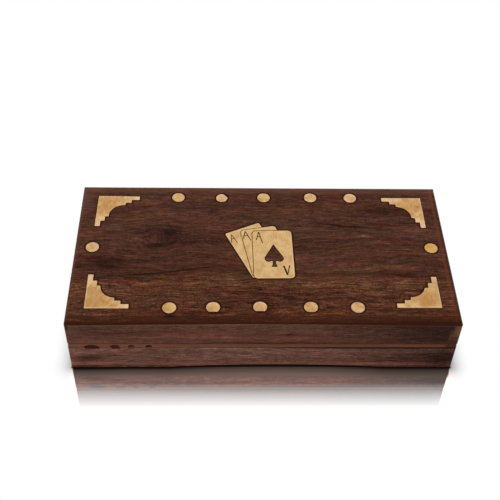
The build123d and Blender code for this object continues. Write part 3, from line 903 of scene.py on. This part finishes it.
def lac_tree():
    """Fills the rings between the outlines and gives them their height."""
    tree = bpy.data.node_groups.new("lac_rings", "GeometryNodeTree")
    wanted = {
        "Outlines": "NodeSocketGeometry",
        "Floor": "NodeSocketFloat",
        "Height": "NodeSocketFloat",
        "Lac": "NodeSocketMaterial",
    }
    for name, kind in wanted.items():
        tree.interface.new_socket(name, in_out="INPUT", socket_type=kind)
    tree.interface.new_socket("Geometry", in_out="OUTPUT", socket_type="NodeSocketGeometry")

    rings = Nodes(tree)
    given = rings.outputs(rings.put("NodeGroupInput"))
    curves = rings.put("GeometryNodeMeshToCurve", inputs={"Mesh": given["Outlines"]})
    filled = rings.put("GeometryNodeFillCurve", inputs={"Curve": curves})
    lift = rings.vector(0.0, 0.0, given["Floor"])
    floor = rings.put("GeometryNodeTransform", inputs={"Geometry": filled, "Translation": lift})
    rise = rings.vector(0.0, 0.0, given["Height"])
    raised = {"Mesh": floor, "Offset": rise, "Individual": False}
    walls = rings.put("GeometryNodeExtrudeMesh", inputs=raised, output="Mesh")
    underside = rings.put("GeometryNodeFlipFaces", inputs={"Mesh": floor})
    shell = rings.put("GeometryNodeJoinGeometry", inputs={"Geometry": [underside, walls]})
    merged = {"Geometry": shell, "Distance": SAME_PLACE * MM}
    closed = rings.put("GeometryNodeMergeByDistance", inputs=merged)
    real = rings.put("GeometryNodeRealizeInstances", inputs={"Geometry": closed})
    painted = {"Geometry": real, "Material": given["Lac"]}
    rings.put("NodeGroupOutput", inputs={0: rings.put("GeometryNodeSetMaterial", inputs=painted)})
    return tree


def add_object(name, data):
    added = bpy.data.objects.new(name, data)
    bpy.context.scene.collection.objects.link(added)
    return added


def make_plain(piece):
    """Turns what a piece's modifiers make into its own plain mesh."""
    evaluated = piece.evaluated_get(bpy.context.evaluated_depsgraph_get())
    mesh = bpy.data.meshes.new_from_object(evaluated)
    piece.modifiers.clear()
    piece.data = mesh


def make_lac():
    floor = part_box("inlay_cards")[0].z
    piece = add_object("lac_in_grooves", groove_outlines(floor))
    modifier = piece.modifiers.new("rings", "NODES")
    modifier.node_group = lac_tree()
    settings = {
        "Floor": floor + LAC_ABOVE_FLOOR * MM,
        "Height": top * MM - floor - (LAC_BELOW_TOP + LAC_ABOVE_FLOOR) * MM,
        "Lac": lac_finish(),
    }
    for socket in modifier.node_group.interface.items_tree:
        if socket.name in settings:
            modifier[socket.identifier] = settings[socket.name]
    make_plain(piece)
    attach(piece, "lid")


# Velvet linings, cut to lie in the wells and glued under the top board

CLOTH_STEP = 1.6
CLOTH_THICK = 0.6
CLOTH_ROUNDING = 0.18
# A ripple's height, and how many ripples there are in a millimetre
RIPPLE = 0.07
RIPPLES = 0.06

WINE_DARK = paint(92, 16, 24)
WINE = paint(128, 26, 34)
NAP_SHADOW = paint(58, 8, 14)
NAP_SHEEN = paint(214, 120, 124)


def velvet_finish():
    """Short-napped velvet: its colour turns with the way that the nap is brushed."""
    velvet = Finish("wine_velvet")
    brushed = velvet.noise(velvet.place, (0.05, 0.07, 0.06), 1.0, 3.0, 0.6)
    nap = velvet.noise(velvet.place, (3.5, 3.5, 3.5), 2.0)
    tufts = velvet.noise(velvet.place, (1.3, 1.3, 1.3), 3.0)
    colour = velvet.mix(brushed.rises(0.35, 0.65), WINE_DARK, WINE)
    colour = velvet.mix(nap.rises(0.4, 0.7) * 0.5, colour, NAP_SHADOW)
    return velvet.show(
        Base_Color=colour,
        Roughness=tufts * 0.2 + 0.75,
        Specular_IOR_Level=0.1,
        Sheen_Weight=0.5,
        Sheen_Roughness=0.35,
        Sheen_Tint=NAP_SHEEN,
        Normal=velvet.bump(nap * 0.6 + tufts, 0.25),
    )


def make_lining(node, material, body, seed):
    """A sheet of velvet in its lining's place: barely rippled, and rounded at its edges."""
    low, high = box_of(node)
    width, depth = high.x - low.x, high.y - low.y
    columns, rows = round(width / CLOTH_STEP), round(depth / CLOTH_STEP)
    middle = (low.z + high.z) / 2
    places, faces = [], []
    for row in range(rows + 1):
        for column in range(columns + 1):
            x = low.x + width * column / columns
            y = low.y + depth * row / rows
            ripple = noise.noise((x * RIPPLES, y * RIPPLES, seed)) * RIPPLE
            places.append((x * MM, y * MM, (middle + ripple) * MM))
    for row in range(rows):
        for column in range(columns):
            corner = row * (columns + 1) + column
            faces.append((corner, corner + 1, corner + columns + 2, corner + columns + 1))
    mesh = bpy.data.meshes.new(node.replace("lining", "velvet"))
    mesh.from_pydata(places, [], faces)
    mesh.materials.append(material)
    mesh.shade_smooth()
    piece = add_object(mesh.name, mesh)
    solid = piece.modifiers.new("thickness", "SOLIDIFY")
    solid.thickness, solid.offset = CLOTH_THICK * MM, 0.0
    edge = piece.modifiers.new("edge", "BEVEL")
    edge.width, edge.segments = CLOTH_ROUNDING * MM, 2
    make_plain(piece)
    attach(piece, body)
    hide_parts(node)


make_lac()
velvet = velvet_finish()
for seed, node in enumerate(("lining_left_well", "lining_centre", "lining_right_well")):
    make_lining(node, velvet, "base", seed)
make_lining("lid_lining", velvet, "lid", 5)


# The table, the light and the camera

TABLE_HALF = 3.0
SHADOW_REACH = 11.0
MIRROR_REACH = 25.0
MIRROR_FADE = 16.0
MIRROR_MOST = 0.93
MIRROR_TINT = (1.4, 1.22, 1.15, 1.0)
MIRROR_ROUGHNESS = 0.04
WHITE = paint(255, 255, 255)
SHADOW_BROWN = paint(40, 20, 12)
FOOT_SHADOW = paint(20, 16, 14)
CONTACT_SHADOW = paint(10, 6, 4)


def table_finish():
    """A pale glossy table that glows: it mirrors the box, less and less with distance, has a painted
    shadow beside the box and a painted contact shadow where it stands, and close in front a painted
    reflection of the box's foot.
    """
    table = Finish("pale_table")
    x, y, _ = table.axes(table.place)
    across = (abs(x) - right_end).at_least(0.0)
    away = (abs(y) - back).at_least(0.0)
    distance = length(across, away)
    outer, inner = across.rises(0.0, 1.0), across.rises(1.0, 0.0)
    # The painted shadow beside the box: darker to the right, lighter beside the front corners
    front_corners = 1.0 - y.rises(front + 3.0, front - 6.0) * outer * 0.45
    depth = (x.rises(left_end, right_end) * 0.19 + 0.56) * front_corners
    shadow = ((SHADOW_REACH - distance) / SHADOW_REACH).at_least(0.0) ** 2.0 * depth
    light = table.mix(shadow, WHITE, SHADOW_BROWN)
    # Close in front: a painted contact shadow fading into a painted reflection of the box's foot, with
    # painted shade towards the right
    near = distance.rises(7.5, 3.5)
    near = near * (abs(x) + distance * 0.25).rises(right_end - 0.3, right_end - 0.9)
    below = distance * TABLE_SHARE + foot_line(x) * FACE_SHARE - HIDDEN_SHARE
    under = table.mix(x.rises(30.0, 80.0) * 0.3, table.ramp(below, FOOT_SHADOW_AND_REFLECTION), FOOT_SHADOW)
    # The mirror carries the painted shadow, and a painted contact shadow where the box stands
    tint = table.mix(1.0, light, MIRROR_TINT, "MULTIPLY")
    contact = table.mix(distance.rises(0.5, 0.1), tint, CONTACT_SHADOW)
    glossy = {"Color": contact, "Roughness": MIRROR_ROUGHNESS}
    mirror = table.put("ShaderNodeBsdfGlossy", inputs=glossy)
    share = ((MIRROR_REACH - distance) / MIRROR_FADE).kept(0.0, MIRROR_MOST) * inner
    far_off = {"Fac": share, 1: table.glow(light), 2: mirror}
    beside = {"Fac": near, 1: table.put("ShaderNodeMixShader", inputs=far_off), 2: table.glow(under)}
    return table.end(table.put("ShaderNodeMixShader", inputs=beside))


def make_table():
    mesh = bpy.data.meshes.new("table")
    corners = ((-1, -1), (1, -1), (1, 1), (-1, 1))
    mesh.from_pydata([(x * TABLE_HALF, y * TABLE_HALF, 0) for x, y in corners], [], [(0, 1, 2, 3)])
    mesh.materials.append(table_finish())
    add_object("table", mesh)


# How bright the studio is from the front, at 0, over the box to the back, at 1
STUDIO = ((0.05, 0.92), (0.65, 0.78), (0.775, 0.9), (0.875, 1.0))


def make_light():
    """An even white studio, a little dimmer overhead than in front and, low down, behind the box."""
    world = bpy.data.worlds.new("studio")
    bpy.context.scene.world = world
    world.use_nodes = True
    studio = Nodes(world.node_tree)
    _, depth, _ = studio.axes(studio.put("ShaderNodeTexCoord", output="Generated"))
    stops = [(place, (bright, bright, bright, 1.0)) for place, bright in STUDIO]
    white = studio.ramp(depth * 0.5 + 0.5, stops)
    background = studio.put("ShaderNodeBackground", inputs={"Color": white})
    studio.put("ShaderNodeOutputWorld", inputs={"Surface": background})


# The camera, as the photograph was taken
CAMERA_PLACE = (-0.02096, -0.34200, 0.40382)
CAMERA_PITCH = math.radians(46.8704)
CAMERA_YAW = math.radians(2.4098)
CAMERA_ROLL = math.radians(1.9799)
CAMERA_FOCAL = 66.44
CAMERA_SENSOR = 36.0
CAMERA_NEAR = 0.01


def make_camera():
    data = bpy.data.cameras.new("camera")
    data.sensor_width, data.lens, data.clip_start = CAMERA_SENSOR, CAMERA_FOCAL, CAMERA_NEAR
    look = Vector((
        math.sin(CAMERA_YAW) * math.cos(CAMERA_PITCH),
        math.cos(CAMERA_YAW) * math.cos(CAMERA_PITCH),
        -math.sin(CAMERA_PITCH),
    ))
    level = Vector((math.cos(CAMERA_YAW), -math.sin(CAMERA_YAW), 0))
    upright = level.cross(look)
    right = level * math.cos(CAMERA_ROLL) + upright * math.sin(CAMERA_ROLL)
    above = upright * math.cos(CAMERA_ROLL) - level * math.sin(CAMERA_ROLL)
    turn = Matrix((right, above, -look)).transposed()
    camera = add_object("camera", data)
    camera.matrix_world = Matrix.Translation(CAMERA_PLACE) @ turn.to_4x4()
    bpy.context.scene.camera = camera


make_table()
make_light()
make_camera()
bpy.context.scene.view_settings.view_transform = "Standard"
